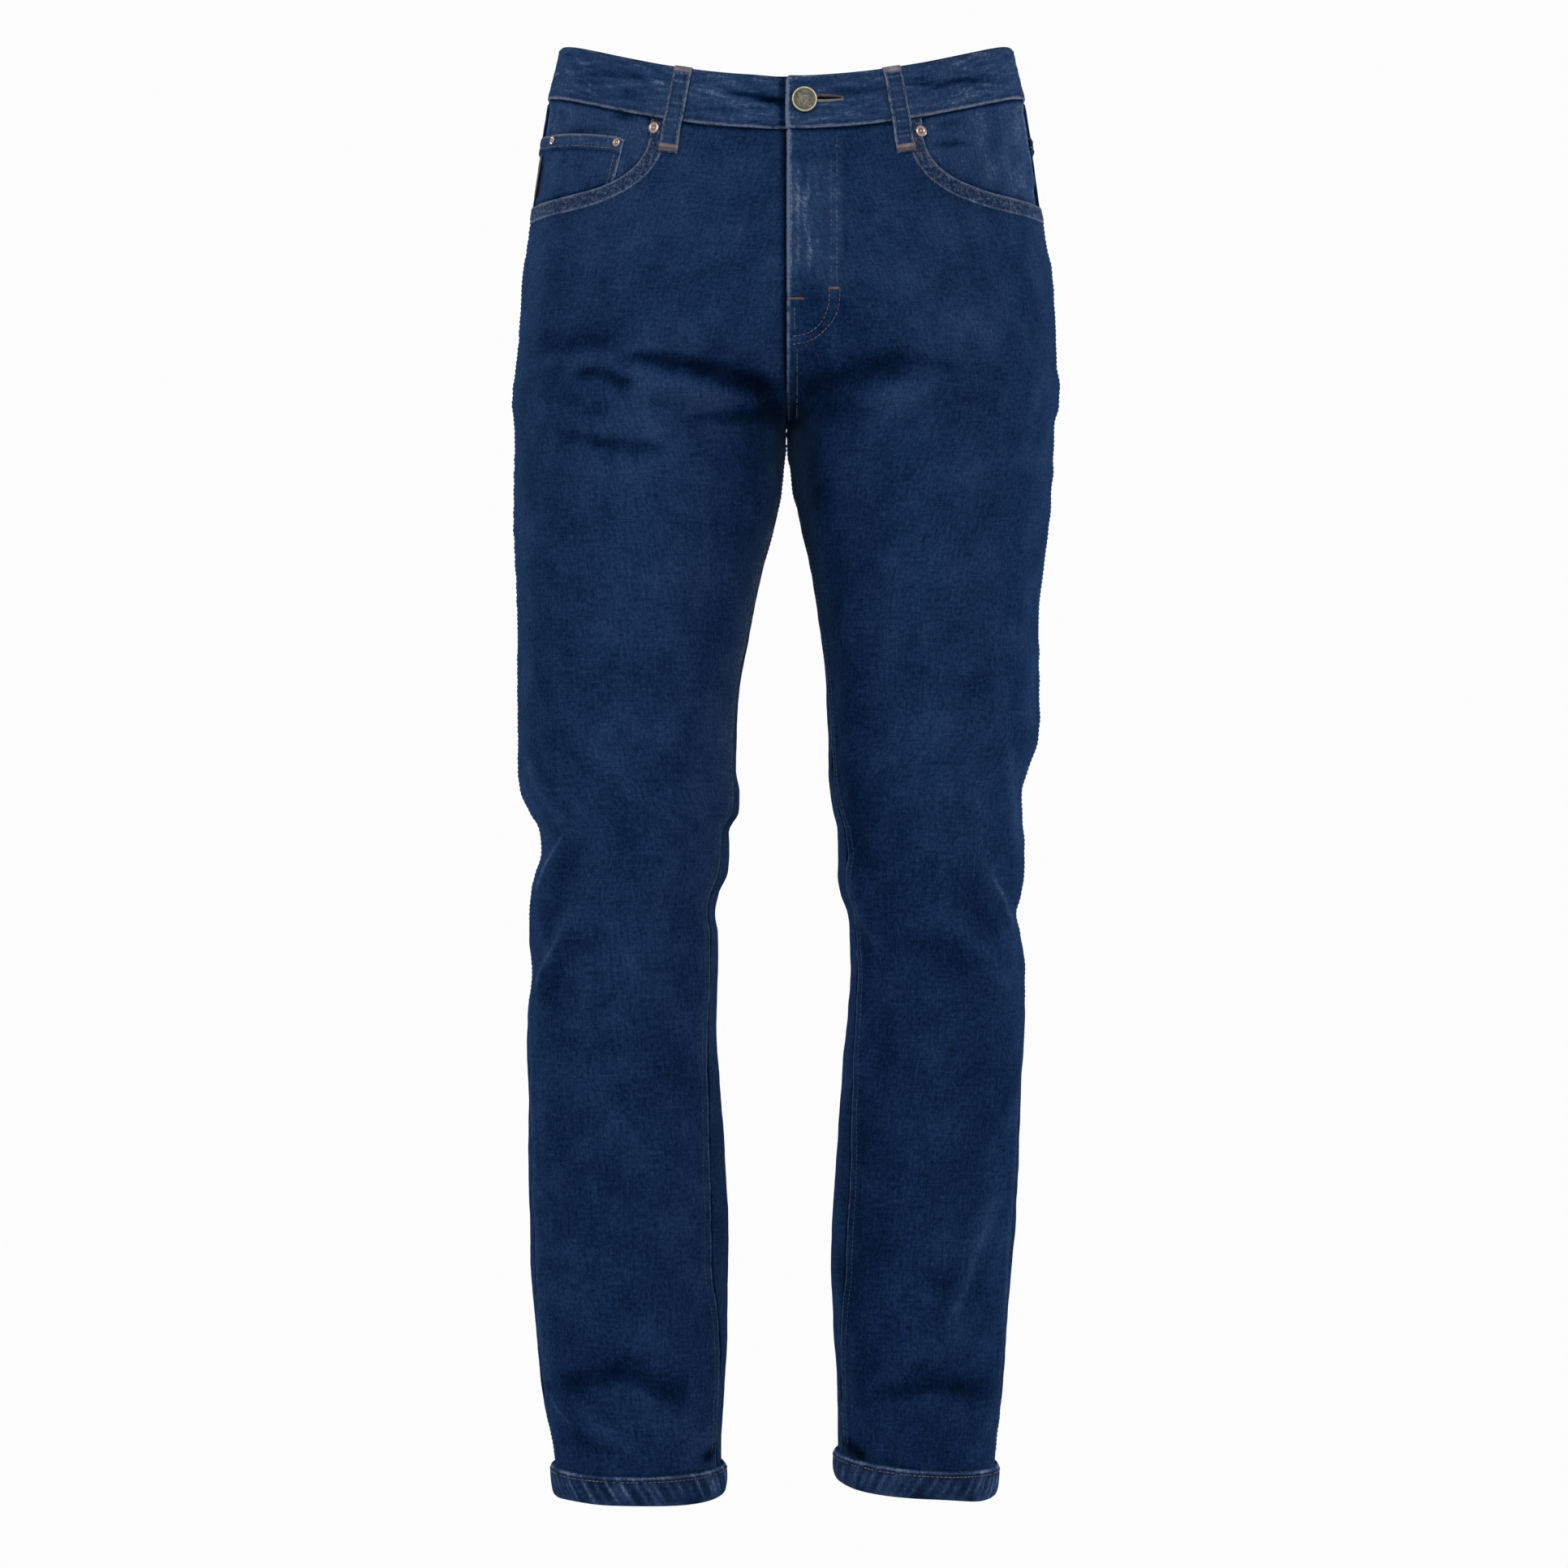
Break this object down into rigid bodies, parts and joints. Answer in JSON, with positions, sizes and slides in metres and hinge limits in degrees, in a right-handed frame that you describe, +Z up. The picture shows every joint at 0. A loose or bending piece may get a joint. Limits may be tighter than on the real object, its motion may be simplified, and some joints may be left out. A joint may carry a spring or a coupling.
{
  "type": "straight leg jeans",
  "caption": "Straight leg denim jeans, filled out and hollow, with a buttoned waistband, zip fly, scooped front pockets, coin pocket and turned hems.",
  "frame": {"origin": "centre of the waist, halfway up the waistband at the side seams", "axes": "+Z up along the legs, -Y out of the front with the fly and button, +X to the wearer's left"},
  "size_m": [0.4012, 0.2742, 1.0612],
  "materials": {
    "front_right": "dark indigo denim twill, faded on the thighs and seams",
    "front_left": "dark indigo denim twill, faded on the thighs and seams",
    "back_right": "dark indigo denim twill, faded on the thighs and seams",
    "back_left": "dark indigo denim twill, faded on the thighs and seams",
    "yoke_right": "dark indigo denim twill, faded on the thighs and seams",
    "yoke_left": "dark indigo denim twill, faded on the thighs and seams",
    "waistband": "dark indigo denim twill, faded on the thighs and seams",
    "bearer_right": "dark indigo denim twill, faded on the thighs and seams",
    "bearer_left": "dark indigo denim twill, faded on the thighs and seams",
    "coin_pocket": "dark indigo denim twill, faded on the thighs and seams",
    "back_pocket_right": "dark indigo denim twill, faded on the thighs and seams",
    "back_pocket_left": "dark indigo denim twill, faded on the thighs and seams",
    "hem_right": "dark indigo denim twill, faded on the thighs and seams",
    "hem_left": "dark indigo denim twill, faded on the thighs and seams",
    "loop_front_right": "dark indigo denim twill",
    "loop_front_left": "dark indigo denim twill",
    "loop_side_right": "dark indigo denim twill",
    "loop_side_left": "dark indigo denim twill",
    "loop_back": "dark indigo denim twill",
    "zip_tape": "dark woven tape",
    "side_tab": "black and olive woven tape, bare",
    "button": "aged brass, plain dished face",
    "rivet_right": "copper coloured, satin",
    "rivet_left": "copper coloured, satin",
    "rivet_coin_inner": "copper coloured, satin",
    "rivet_coin_outer": "copper coloured, satin",
    "zip_chain": "yellow brass",
    "zip_slider": "yellow brass"
  },
  "bodies": {
    "root": {"front_right": "front_right", "front_left": "front_left", "back_right": "back_right", "back_left": "back_left", "yoke_right": "yoke_right", "yoke_left": "yoke_left", "waistband": "waistband", "bearer_right": "bearer_right", "bearer_left": "bearer_left", "coin_pocket": "coin_pocket", "back_pocket_right": "back_pocket_right", "back_pocket_left": "back_pocket_left", "hem_right": "hem_right", "hem_left": "hem_left", "loop_front_right": "loop_front_right", "loop_front_left": "loop_front_left", "loop_side_right": "loop_side_right", "loop_side_left": "loop_side_left", "loop_back": "loop_back", "zip_tape": "zip_tape", "side_tab": "side_tab", "button": "button", "rivet_right": "rivet_right", "rivet_left": "rivet_left", "rivet_coin_inner": "rivet_coin_inner", "rivet_coin_outer": "rivet_coin_outer", "zip_chain": "zip_chain", "zip_slider": "zip_slider"}
  },
  "joints": []
}
